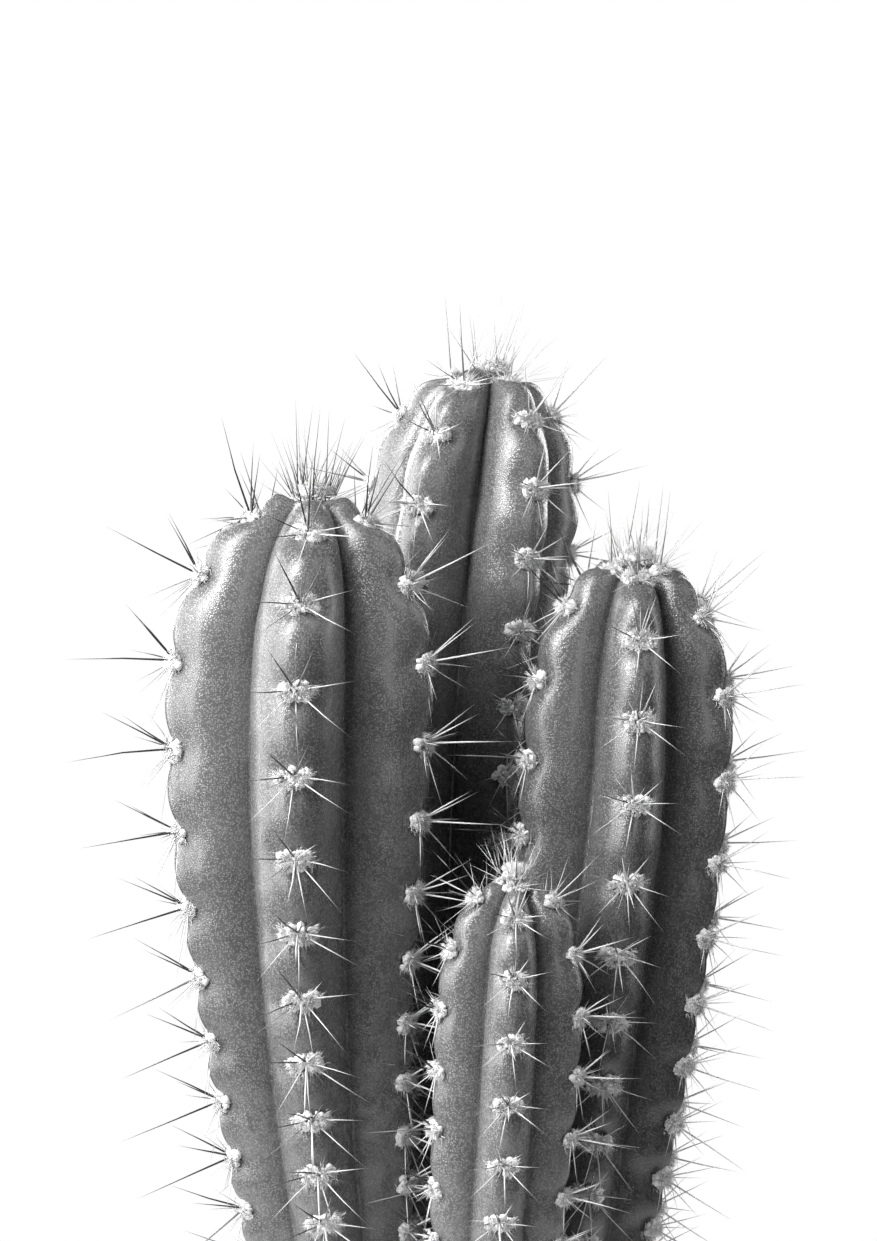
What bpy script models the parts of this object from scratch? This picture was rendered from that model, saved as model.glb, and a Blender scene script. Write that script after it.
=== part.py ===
"""A clump of ribbed columnar cactus: four stems on one root crown, each with woolly areoles and spines.

Metres, +Z up. The origin is the middle of the flat cut under the root crown, at ground level.
The viewer looks along +Y, so a rib at 0 degrees faces the viewer and one at 90 degrees faces +X.
"""

import math
import random
from dataclasses import dataclass

import bmesh
import bpy
import numpy as np
from mathutils import Matrix, Vector

# Root crown: a low corky knob that the four stems spring from.
CROWN_PROFILE = (  # radius and height, from the middle of the top down to the ground
    (0.0, 0.0335),
    (0.0300, 0.0330),
    (0.0440, 0.0310),
    (0.0535, 0.0255),
    (0.0585, 0.0170),
    (0.0615, 0.0085),
    (0.0680, 0.0),
    (0.0, 0.0),
)
CROWN_STEPS = 20
CROWN_OFFSET = (-0.001, 0.0)  # the knob is a little off the origin's axis
CROWN_LOBES = 5
CROWN_LOBE_DEPTH = 0.05  # share of the radius
NECK_SIDES = 14
NECK_SINK = 0.018  # how far each neck reaches down into the crown
NECK_TOP = 0.94  # neck radius at its cut, as a share of the stem's foot
NECK_FLARE = 1.15  # neck radius at its lower end, as a share of the stem's foot
JOINT_GAP = 0.0003  # between a neck's cut and the stem's foot

# Shape shared by all stems.
AXIS_SAMPLES = 400
DOME_POWER = 2.2  # how full the rounded tip is
TIP_DIP = 0.0015  # the growing point lies this far below the tops of the ribs
TIP_DIP_WIDTH = 0.007
VALLEY = 0.60  # radius of a valley as a share of the crest's
VALLEY_AT_TIP = 0.42
VALLEY_AT_FOOT = 0.86
VALLEY_FADE = 0.060  # length over which the ribs die out above the foot
CREST_ROUNDING = 0.15
LOBE = 0.22  # share of a rib's fall that comes close to the valley, which rounds its flanks
LOBE_AT_TIP = 0.60
LOBE_POWER = 3.5
LOBE_FADE = 0.110  # length over which the tip's shape gives way to the column's
NOTCH_DEPTH = 0.055  # share of the radius that a crest dips at an areole
NOTCH_LENGTH = 0.26  # half length of the dip, in gaps between areoles
COLUMNS = (-0.5, 0.0, 0.5, 1.0)  # places across a rib: 0 is its crest, 1 its valley
ROW_STEP = 0.5  # rows of the mesh, in gaps between areoles
OLD_ROW_STEP = 1.0  # the same in the lower part, where the gaps are short
OLD_ROWS = 0.60  # share of the stem's length, from the tip, at which the lower part starts

# Spacing of the areoles along a crest.
YOUNG_GAP = 0.25  # the gap at the very tip, as a share of the full one
YOUNG_REACH = 0.30  # in stem radii
BARE_FOOT = 0.052  # no areole within this length of the foot
BARE_TIP = 0.004  # nor this near the tip

# Areoles and spines.
WOOL_WIDTH = 0.0060  # half width of a full-grown tuft
WOOL_HEIGHT = 0.0056
WOOL_PROUD = 0.0042
WOOL_YOUNG = 0.55  # size of a tuft at the tip, as a share
WOOL_ROOT = 0.0022  # how far a tuft is sunk in the rib
SPINE_RADIUS = 0.0008
SPINE_ROOT = 0.0025
CENTRAL_TILT = (14.0, -26.0)  # of the long spine above square to the rib: at the tip, at the foot
UPPER_PAIR = ((-27.0, 50.0, 0.66), (27.0, 50.0, 0.66))  # clock angle from up, lift, share of length
CLOCK_JITTER = 12.0
LIFT_JITTER = 9.0
LENGTH_JITTER = 0.12
TIP_TUFT = 0.020  # areoles nearer to the tip than this carry the upper pair as well
SPACE_MARGIN = 0.0008  # a spine stays this much nearer to its own stem than to any other
SHORTER = (1.0, 0.8, 0.62, 0.46)  # lengths that are tried before a spine is left out

SKIN_GREY = (0.18, 0.18, 0.18, 1.0)
CORK_GREY = (0.26, 0.26, 0.26, 1.0)


@dataclass
class Stem:
    """One column. Stations are (x, y, z, crest radius) from the foot to the tip."""

    name: str
    stations: tuple
    dome: float  # length of the rounded tip
    rib_angles: tuple  # degrees
    rib_phases: tuple  # where each rib's first areole is, in gaps from the tip
    gap_top: float
    gap_foot: float
    gap_fall: tuple  # distances below the tip between which the gap goes from the top's to the foot's
    spine: float  # full length of a central spine
    seed: int


STEMS = (
    Stem(
        name="stem_left",
        stations=(
            (-0.0340, 0.004, 0.040, 0.0215),
            (-0.0465, 0.005, 0.098, 0.0280),
            (-0.0555, 0.004, 0.160, 0.0350),
            (-0.0608, 0.002, 0.225, 0.0415),
            (-0.0631, 0.000, 0.290, 0.0485),
            (-0.0622, 0.000, 0.350, 0.0508),
            (-0.0576, 0.000, 0.410, 0.0500),
        ),
        dome=0.078,
        rib_angles=(0.0, 72.0, 143.0, 216.0, 288.0),
        rib_phases=(0.65, 0.35, 0.62, 0.80, 0.45),
        gap_top=0.032,
        gap_foot=0.015,
        gap_fall=(0.096, 0.352),
        spine=0.040,
        seed=11,
    ),
    Stem(
        name="stem_back",
        stations=(
            (-0.0080, 0.040, 0.040, 0.0215),
            (-0.0095, 0.051, 0.110, 0.0270),
            (-0.0090, 0.060, 0.180, 0.0320),
            (-0.0085, 0.068, 0.250, 0.0355),
            (-0.0060, 0.0755, 0.315, 0.0392),
            (-0.0005, 0.082, 0.385, 0.0430),
            (0.0090, 0.084, 0.456, 0.0440),
        ),
        dome=0.067,
        rib_angles=(-30.0, 35.0, 106.0, 180.0, 257.0),
        rib_phases=(0.31, 0.88, 0.73, 0.40, 0.10),
        gap_top=0.0295,
        gap_foot=0.015,
        gap_fall=(0.14, 0.36),
        spine=0.034,
        seed=23,
    ),
    Stem(
        name="stem_right",
        stations=(
            (0.0310, 0.008, 0.040, 0.0205),
            (0.0365, 0.010, 0.098, 0.0275),
            (0.0435, 0.011, 0.160, 0.0343),
            (0.0505, 0.012, 0.225, 0.0393),
            (0.0575, 0.013, 0.288, 0.0413),
            (0.0602, 0.014, 0.338, 0.0410),
            (0.0613, 0.014, 0.386, 0.0400),
        ),
        dome=0.070,
        rib_angles=(2.0, 62.0, 108.0, 165.0, 232.0, 290.0),
        rib_phases=(0.11, 0.82, 0.68, 0.20, 0.40, 0.71),
        gap_top=0.031,
        gap_foot=0.017,
        gap_fall=(0.091, 0.294),
        spine=0.033,
        seed=37,
    ),
    Stem(
        name="stem_front",
        stations=(
            (0.0050, -0.0330, 0.038, 0.0175),
            (0.0066, -0.0370, 0.088, 0.0212),
            (0.0088, -0.0410, 0.140, 0.0242),
            (0.0120, -0.0440, 0.190, 0.0266),
            (0.0142, -0.0460, 0.235, 0.0274),
            (0.0159, -0.0460, 0.275, 0.0270),
        ),
        dome=0.055,
        rib_angles=(1.0, 72.0, 144.0, 216.0, 287.0),
        rib_phases=(0.62, 0.31, 0.70, 0.50, 0.31),
        gap_top=0.0221,
        gap_foot=0.016,
        gap_fall=(0.119, 0.150),
        spine=0.026,
        seed=51,
    ),
)


def smooth_curve(points, places):
    """A Catmull-Rom curve through points. A place counts the stations: 0 is the first point."""
    points = np.asarray(points, float)
    padded = np.vstack([2 * points[0] - points[1], points, 2 * points[-1] - points[-2]])
    span = np.minimum(places.astype(int), len(points) - 2)
    t = (places - span)[:, None]
    a, b, c, d = (padded[span + k] for k in range(4))
    return 0.5 * (2 * b + (c - a) * t + (2 * a - 5 * b + 4 * c - d) * t**2 + (3 * b - a - 3 * c + d) * t**3)


def steps_along(points):
    """Distance along a line of points, 0 at the first."""
    return np.concatenate([[0.0], np.cumsum(np.linalg.norm(np.diff(points, axis=0), axis=1))])


def unit(vector):
    return vector / np.linalg.norm(vector, axis=-1, keepdims=True)


class StemShape:
    """The surface of one stem, read by the distance below its tip along a crest."""

    def __init__(self, stem):
        self.stem = stem
        spans = len(stem.stations) - 1
        places = spans * np.sin(np.linspace(0.0, math.pi / 2, AXIS_SAMPLES))
        curve = smooth_curve(stem.stations, places)
        self.centre = curve[:, :3]
        along = steps_along(self.centre)
        into_dome = np.clip(1 - (along[-1] - along) / stem.dome, 0.0, 1.0)
        self.radius = curve[:, 3] * (1 - into_dome**DOME_POWER) ** (1 / DOME_POWER)
        self.tangent = unit(np.gradient(self.centre, axis=0))
        crest = steps_along(np.column_stack([along, self.radius]))
        self.below_tip = crest[-1] - crest
        self.length = crest[-1]
        self.above_foot = along
        self.widest = self.radius.max()
        self._count_gaps()

    def _count_gaps(self):
        """The number of areole gaps between the tip and each place below it."""
        stem = self.stem
        self.distance = np.linspace(0.0, self.length, AXIS_SAMPLES)
        start, end = stem.gap_fall
        old = np.clip((self.distance - start) / (end - start), 0.0, 1.0)
        young = 1 - (1 - YOUNG_GAP) * np.exp(-self.distance / (YOUNG_REACH * self.widest))
        gap = young * (stem.gap_top + (stem.gap_foot - stem.gap_top) * old)
        steps = np.diff(self.distance) * 0.5 * (1 / gap[1:] + 1 / gap[:-1])
        self.count = np.concatenate([[0.0], np.cumsum(steps)])

    def at(self, distance, values):
        """One of the axis tables, read at a distance below the tip."""
        order = slice(None, None, -1)
        if values.ndim == 1:
            return np.interp(distance, self.below_tip[order], values[order])
        columns = [np.interp(distance, self.below_tip[order], column[order]) for column in values.T]
        return np.array(columns)

    def outward(self, distance, angle):
        """Unit vector square to the axis, at a rib angle in degrees."""
        tangent = unit(self.at(distance, self.tangent))
        side = unit(np.array([1.0, 0.0, 0.0]) - tangent[0] * tangent)
        front = np.cross(side, tangent)
        return math.sin(math.radians(angle)) * side + math.cos(math.radians(angle)) * front

    def point(self, distance, angle, share=0.0, notch=0.0):
        """A point of the skin. share is 0 on a crest and 1 in a valley, notch 1 at an areole."""
        radius = self.at(distance, self.radius)
        tip = math.exp(-distance / LOBE_FADE)
        foot = math.exp(-self.at(distance, self.above_foot) / VALLEY_FADE)
        valley = VALLEY + (VALLEY_AT_TIP - VALLEY) * tip + (VALLEY_AT_FOOT - VALLEY) * foot
        lobe = LOBE + (LOBE_AT_TIP - LOBE) * tip
        flat = math.sqrt(1 + CREST_ROUNDING**2) - CREST_ROUNDING
        fall = (1 - lobe) * (math.sqrt(share**2 + CREST_ROUNDING**2) - CREST_ROUNDING) / flat
        ratio = 1 - (1 - valley) * (fall + lobe * share**LOBE_POWER)
        ratio *= 1 - NOTCH_DEPTH * notch * math.exp(-((share / 0.45) ** 2))
        centre = self.at(distance, self.centre)
        tangent = unit(self.at(distance, self.tangent))
        dip = TIP_DIP * math.exp(-((radius / TIP_DIP_WIDTH) ** 2))
        return centre + ratio * radius * self.outward(distance, angle) - dip * tangent

    def areole(self, rib, count):
        """(place, outward, up, distance below the tip) of an areole, count gaps below the tip."""
        distance = float(np.interp(count, self.count, self.distance))
        angle = self.stem.rib_angles[rib]
        place = self.point(distance, angle, notch=1.0)
        step = 0.02 * self.stem.gap_top
        above = self.point(max(distance - step, 0.0), angle)
        below = self.point(distance + step, angle)
        up = unit(above - below)
        out = self.outward(distance, angle)
        return place, unit(out - np.dot(out, up) * up), up, distance

    def areoles(self):
        last = float(np.interp(self.length - BARE_FOOT, self.distance, self.count))
        for rib, phase in enumerate(self.stem.rib_phases):
            for step in range(math.ceil(last - phase)):
                found = self.areole(rib, step + phase)
                if found[-1] > BARE_TIP:
                    yield (rib, step, *found)

    def clearance(self, points):
        """How far points are outside the round column that holds the crests."""
        apart = np.linalg.norm(points[:, None, :] - self.centre[None, ::8, :], axis=2)
        return (apart - self.radius[None, ::8]).min(axis=1)


def row_counts(shape):
    """Where the rows of the mesh lie, in gaps below the tip, from the tip down to the foot."""
    counts = [0.0]
    last = shape.count[-1]
    while counts[-1] < last - OLD_ROW_STEP:
        old = np.interp(counts[-1], shape.count, shape.distance) > OLD_ROWS * shape.length
        counts.append(counts[-1] + (OLD_ROW_STEP if old else ROW_STEP))
    return counts


def columns_of(stem):
    """(angle, share across the rib, shift of the rows in gaps, rib) for each column round the stem."""
    angles = stem.rib_angles
    count = len(angles)
    columns = []
    for rib in range(count):
        after = (angles[(rib + 1) % count] - angles[rib]) % 360
        before = (angles[rib] - angles[rib - 1]) % 360
        shift = ROW_STEP * ((stem.rib_phases[rib] / ROW_STEP + 0.5) % 1 - 0.5)
        for share in COLUMNS:
            angle = angles[rib] + share * (after if share > 0 else before) / 2
            columns.append((angle, abs(share), shift if share == 0 else 0.0, rib))
    return columns


def notch_at(stem, rib, count):
    """1 at an areole of the rib, falling to 0 half way to the next."""
    away = (count - stem.rib_phases[rib] + 0.5) % 1 - 0.5
    return math.exp(-((away / NOTCH_LENGTH) ** 2))


def new_object(name, mesh, collection, material):
    obj = bpy.data.objects.new(name, mesh)
    collection.objects.link(obj)
    if material:
        mesh.materials.append(material)
    return obj


def make_body(shape, collection, material):
    """The ribbed column: a sphere's rings and meridians laid over the stem's surface."""
    stem = shape.stem
    columns = columns_of(stem)
    counts = row_counts(shape)
    rings = len(counts) + 1
    bm = bmesh.new()
    bmesh.ops.create_uvsphere(bm, u_segments=len(columns), v_segments=rings, radius=1.0)
    foot = shape.at(shape.length, shape.centre)
    tip = shape.point(0.0, 0.0)
    for vert in bm.verts:
        ring = round((math.asin(max(-1.0, min(1.0, vert.co.z))) / math.pi + 0.5) * rings)
        if ring == 0:
            vert.co = Vector(foot)
            continue
        if ring == rings:
            vert.co = Vector(tip)
            continue
        turn = math.atan2(vert.co.y, vert.co.x) / (2 * math.pi) * len(columns)
        angle, share, shift, rib = columns[round(turn) % len(columns)]
        if ring == 1:
            vert.co = Vector(shape.point(shape.length, angle, share))
            continue
        count = counts[rings - ring] + (shift if 2 < ring < rings - 1 else 0.0)
        distance = float(np.interp(count, shape.count, shape.distance))
        young = float(distance < OLD_ROWS * shape.length)
        vert.co = Vector(shape.point(distance, angle, share, young * notch_at(stem, rib, count)))
    mesh = bpy.data.meshes.new(stem.name)
    bm.to_mesh(mesh)
    bm.free()
    return new_object(stem.name, mesh, collection, material)


def basis(place, x_axis, y_axis, z_axis):
    """The matrix that carries a shape from the origin to place, with its axes along these."""
    matrix = Matrix.Identity(4)
    for column, axis in enumerate((x_axis, y_axis, z_axis, place)):
        for row in range(3):
            matrix[row][column] = axis[row]
    return matrix


def make_areole(place, outward, up, size, tip, collection):
    """A four-sided pad of wool, half sunk in the rib, drawn out into the long spine that ends at tip."""
    bm = bmesh.new()
    depth = WOOL_ROOT + size * WOOL_PROUD
    bmesh.ops.create_cone(bm, cap_ends=True, segments=4, radius1=1.0, radius2=0.5, depth=depth)
    for vert in bm.verts:
        low = vert.co.z < 0
        vert.co.x *= size * WOOL_WIDTH if low else 2 * SPINE_RADIUS
        vert.co.y *= size * WOOL_HEIGHT if low else 2 * SPINE_RADIUS
        vert.co.z += depth / 2 - WOOL_ROOT
    bm.transform(basis(place, np.cross(up, outward), up, outward))
    bm.faces.ensure_lookup_table()
    top = max(bm.faces, key=lambda face: (face.calc_center_median() - Vector(place)).dot(Vector(outward)))
    point = bmesh.ops.poke(bm, faces=[top])["verts"][0]
    point.co = Vector(tip)
    mesh = bpy.data.meshes.new("areole")
    bm.to_mesh(mesh)
    bm.free()
    return new_object("areole", mesh, collection, None)


def make_spine(place, direction, length, collection):
    """A three-sided spine whose root is sunk in the wool and the rib."""
    bm = bmesh.new()
    bmesh.ops.create_cone(
        bm, cap_ends=True, segments=3, radius1=SPINE_RADIUS, radius2=0.0, depth=length + SPINE_ROOT
    )
    bmesh.ops.remove_doubles(bm, verts=bm.verts, dist=1e-6)
    middle = np.asarray(place) + direction * (length - SPINE_ROOT) / 2
    turn = Vector((0.0, 0.0, 1.0)).rotation_difference(Vector(direction)).to_matrix().to_4x4()
    bm.transform(Matrix.Translation(Vector(middle)) @ turn)
    mesh = bpy.data.meshes.new("spine")
    bm.to_mesh(mesh)
    bm.free()
    return new_object("spine", mesh, collection, None)


def kept_length(shape, shapes, place, direction, length):
    """The longest try that stays in the stem's own space, or 0."""
    for share in SHORTER:
        reach = np.array([0.35, 0.6, 0.8, 1.0])[:, None] * (share * length)
        points = np.asarray(place) + reach * direction
        own = shape.clearance(points) + SPACE_MARGIN
        others = [other.clearance(points) for other in shapes if other is not shape]
        if (own < np.min(others, axis=0)).all() and points[:, 2].min() > 0.004:
            return share * length
    return 0.0


def spine_plan(shape, rib, step, distance):
    """(clock, lift, length) of each spine of an areole, the long one first, in degrees and metres."""
    stem = shape.stem
    rng = random.Random(stem.seed * 10000 + rib * 100 + step)
    tilt = np.interp(distance / shape.length, (0.0, 1.0), CENTRAL_TILT)
    wanted = [(0.0, 90.0 - tilt, 1.0)]
    if distance < TIP_TUFT:
        wanted += UPPER_PAIR
    plan = []
    for clock, lift, share in wanted:
        clock += rng.uniform(-CLOCK_JITTER, CLOCK_JITTER)
        lift += rng.uniform(-LIFT_JITTER, LIFT_JITTER)
        plan.append((clock, lift, share * stem.spine * (1 + rng.uniform(-LENGTH_JITTER, 0.0))))
    return plan


def spine_direction(outward, up, clock, lift):
    across = np.cross(up, outward)
    clock, lift = math.radians(clock), math.radians(lift)
    along = math.cos(clock) * up + math.sin(clock) * across
    return unit(math.cos(lift) * along + math.sin(lift) * outward)


def fuse(obj, bits, solver):
    """Joins every object in bits to obj by one Boolean union, and removes them."""
    modifier = obj.modifiers.new("fuse", "BOOLEAN")
    modifier.operation = "UNION"
    modifier.operand_type = "COLLECTION"
    modifier.collection = bits
    modifier.solver = solver
    bpy.context.view_layer.update()
    graph = bpy.context.evaluated_depsgraph_get()
    mesh = bpy.data.meshes.new_from_object(obj.evaluated_get(graph))
    obj.modifiers.clear()
    obj.data = mesh
    for bit in list(bits.objects):
        bpy.data.objects.remove(bit)
    bpy.data.collections.remove(bits)


def new_collection(name):
    collection = bpy.data.collections.new(name)
    bpy.context.scene.collection.children.link(collection)
    return collection


def make_stem(shape, shapes, collection, material):
    stem = shape.stem
    body = make_body(shape, collection, material)
    bits = new_collection(stem.name + "_bits")
    for rib, step, place, outward, up, distance in shape.areoles():
        age = min(1.0, WOOL_YOUNG + distance / (2 * shape.widest))
        size = age * (shape.widest / 0.05) ** 0.35
        tip = place + outward * size * (WOOL_PROUD + 0.0006)
        for number, (clock, lift, length) in enumerate(spine_plan(shape, rib, step, distance)):
            direction = spine_direction(outward, up, clock, lift)
            length = kept_length(shape, shapes, place, direction, length)
            if number == 0:
                tip = place + direction * length if length else tip
            elif length:
                make_spine(place, direction, length, bits)
        make_areole(place, outward, up, size, tip, bits)
    fuse(body, bits, "MANIFOLD")
    return body


def make_crown(shapes, collection, material):
    """The root crown: a turned, lobed knob, with a short neck up to the foot of each stem."""
    bm = bmesh.new()
    verts = [bm.verts.new((radius, 0.0, height)) for radius, height in CROWN_PROFILE]
    edges = [bm.edges.new(pair) for pair in zip(verts, verts[1:])]
    bmesh.ops.spin(
        bm,
        geom=verts + edges,
        cent=(0, 0, 0),
        axis=(0, 0, 1),
        angle=2 * math.pi,
        steps=CROWN_STEPS,
        use_merge=True,
    )
    bmesh.ops.remove_doubles(bm, verts=bm.verts, dist=1e-5)
    bmesh.ops.recalc_face_normals(bm, faces=bm.faces)
    for vert in bm.verts:
        turn = math.atan2(vert.co.y, vert.co.x)
        swell = 1 + CROWN_LOBE_DEPTH * math.cos(CROWN_LOBES * turn + 0.6)
        vert.co.x = vert.co.x * swell + CROWN_OFFSET[0]
        vert.co.y = vert.co.y * swell + CROWN_OFFSET[1]
    mesh = bpy.data.meshes.new("root_crown")
    bm.to_mesh(mesh)
    bm.free()
    crown = new_object("root_crown", mesh, collection, material)
    necks = new_collection("necks")
    for shape in shapes:
        foot = shape.at(shape.length, shape.centre)
        tangent = unit(shape.at(shape.length, shape.tangent))
        radius = shape.at(shape.length, shape.radius)
        top = foot - JOINT_GAP * tangent
        bm = bmesh.new()
        bmesh.ops.create_cone(
            bm,
            cap_ends=True,
            segments=NECK_SIDES,
            radius1=NECK_FLARE * radius,
            radius2=NECK_TOP * radius,
            depth=NECK_SINK,
        )
        turn = Vector((0.0, 0.0, 1.0)).rotation_difference(Vector(tangent)).to_matrix().to_4x4()
        bm.transform(Matrix.Translation(Vector(top - tangent * NECK_SINK / 2)) @ turn)
        mesh = bpy.data.meshes.new("neck")
        bm.to_mesh(mesh)
        bm.free()
        new_object("neck", mesh, necks, None)
    fuse(crown, necks, "EXACT")
    return crown


def make_material(name, colour, roughness):
    material = bpy.data.materials.new(name)
    material.use_nodes = True
    shader = material.node_tree.nodes["Principled BSDF"]
    shader.inputs["Base Color"].default_value = colour
    shader.inputs["Roughness"].default_value = roughness
    shader.inputs["Metallic"].default_value = 0.0
    return material


def clear_scene():
    for obj in list(bpy.data.objects):
        bpy.data.objects.remove(obj)


def main():
    clear_scene()
    skin = make_material("cactus_skin", SKIN_GREY, 0.45)
    cork = make_material("cork", CORK_GREY, 0.85)
    cactus = new_collection("cactus")
    shapes = [StemShape(stem) for stem in STEMS]
    make_crown(shapes, cactus, cork)
    for shape in shapes:
        make_stem(shape, shapes, cactus, skin)


main()
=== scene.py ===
"""Looks of a clump of ribbed columnar cactus: waxy skins, woolly areoles, spines and a corky root crown.

The frame gives the solids. Everything here is in metres, with +Z up, and rides on the one body, root.
The viewer looks along +Y, so a rib at 0 degrees faces the viewer and one at 90 degrees faces +X.
"""

import math
import random
from dataclasses import dataclass

import bpy
import numpy as np
from bpy.props import FloatProperty, FloatVectorProperty, IntProperty, PointerProperty
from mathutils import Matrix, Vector


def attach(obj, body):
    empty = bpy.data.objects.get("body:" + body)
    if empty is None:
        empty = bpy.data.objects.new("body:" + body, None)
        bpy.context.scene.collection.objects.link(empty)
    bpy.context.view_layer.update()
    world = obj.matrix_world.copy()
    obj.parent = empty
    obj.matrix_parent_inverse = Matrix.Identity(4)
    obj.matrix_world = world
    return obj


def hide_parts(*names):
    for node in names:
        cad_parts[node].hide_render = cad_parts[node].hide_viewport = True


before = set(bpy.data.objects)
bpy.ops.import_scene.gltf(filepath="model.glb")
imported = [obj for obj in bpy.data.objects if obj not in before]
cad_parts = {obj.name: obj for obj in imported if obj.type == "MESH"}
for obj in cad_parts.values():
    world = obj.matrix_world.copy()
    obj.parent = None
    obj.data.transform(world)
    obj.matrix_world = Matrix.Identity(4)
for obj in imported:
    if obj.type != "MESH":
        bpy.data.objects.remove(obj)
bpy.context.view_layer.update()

bl_info = {
    "name": "Columnar cactus looks",
    "version": (1, 0, 0),
    "blender": (4, 5, 0),
    "location": "3D View > Sidebar > Cactus",
    "description": "Makes the skins, wool, spines and root crown of a clump of columnar cactus",
    "category": "Object",
}

# The photograph's camera: a long lens that looks slightly down.
CAMERA_LENS = 100.0
CAMERA_SENSOR = 36.0
CAMERA_DISTANCE = 1.275
CAMERA_PITCH = 4.0
CAMERA_AIM = (-0.0117, 0.0, 0.362)

# The stems' shape, by the solids' rule. The solids leave out how the ribs bud apart at the very tip and how
# the notches under the areoles change with age.
AXIS_SAMPLES = 400
DOME_POWER = 2.2
TIP_DIP = 0.0045
TIP_DIP_WIDTH = 0.0090
VALLEY = 0.60
VALLEY_AT_TIP = 0.42
VALLEY_AT_FOOT = 0.86
VALLEY_FADE = 0.060
CREST_ROUNDING = 0.15
LOBE = 0.22  # share of a rib's fall that comes close to the valley, which rounds its flanks
LOBE_AT_TIP = 0.60
LOBE_POWER = 3.5
LOBE_FADE = 0.110
BUD_VALLEY = 0.26  # the growing ribs at the very tip are fingers with open valleys between them
BUD_POWER = 2.0
BUD_LOBE = 0.8
BUD_LENGTH = 0.020
BUD_DIP = 0.0050  # how far the valleys there lie below the crests
BUD_DIP_POWER = 1.5
BUD_CENTRE = 0.0050  # the dip fades out within this radius of the growing point
NOTCH_DEPTH = 0.036  # share of the stem's radius
NOTCH_LENGTH = 0.17  # share of the gap between two areoles
NOTCH_WIDTH = 0.24  # share across a rib
NOTCH_START = 0.009  # distance below the tip at which the notches reach their depth
NOTCH_END = 0.030  # distance above the foot below which they fade out
YOUNG_NOTCH = 0.050  # over this length below the tip the notches are deeper, longer and wider
YOUNG_NOTCH_DEEPER = 1.3  # how much deeper, as a share
YOUNG_NOTCH_LENGTH = 0.28
YOUNG_NOTCH_WIDTH = 0.52
GROWING_POINT = 0.0015  # how far it lies below the end of the stem's axis
GIRTH = 0.05  # radius of a thick stem, beside which tufts and swell are sized
YOUNG_GAP = 0.25
YOUNG_REACH = 0.30
BARE_FOOT = 0.052
BARE_TIP = 0.004

# Areoles and their long spines, by the solids' rule.
CENTRAL_TILT = (14.0, -26.0)  # of the long spine above square to the rib: at the tip, at the foot
CLOCK_JITTER = 12.0
LIFT_JITTER = 9.0
LENGTH_JITTER = 0.12

# Finer detail that the solids leave out.
SKIN_ROW = 0.0015  # height of a row of mesh
RIB_COLUMNS = 200  # columns of mesh round a whole stem
SKIN_ROW_POWER = 1.06  # the rows of mesh are this much closer together near the tip
SWELL = 0.0008  # how far a rib bulges between two areoles of a thick stem
SWELL_WIDTH = 0.7  # share across a rib
SKIN_RELIEF = (("lumps", 0.034, 0.0016, ""), ("wrinkles", 0.011, 0.0010, "old"))  # name, size, strength, group
AGE_POWER = 1.5
YOUNG_WRINKLES = 0.1  # strength of the wrinkles at the tip, as a share
PAINTED_SHADE_FADE = (0.10, 0.20)  # painted shade: the skin darkens from its lightness at the tip to its lower one between these distances below the tip
CORK_FOOT = 0.055  # the skin turns corky over this length above the foot


@dataclass
class Stem:
    """One column. Stations are (x, y, z, crest radius) from the foot to the tip."""

    name: str
    stations: tuple
    dome: float  # length of the rounded tip
    rib_angles: tuple  # degrees
    rib_phases: tuple  # where each rib's first areole lies, in gaps below the tip
    gap_top: float  # between two areoles high up
    gap_foot: float  # and low down
    gap_fall: tuple  # distances below the tip between which the gap changes
    spine: float  # full length of the long spines
    seed: int
    tone: tuple  # lightness of the skin beside the left stem's, at the tip and lower down: partly each stem's own tone, partly painted shade, which darkens the lower parts, most on the back and right stems
    bleached: float  # how much paler than the left stem's its spines are


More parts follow.
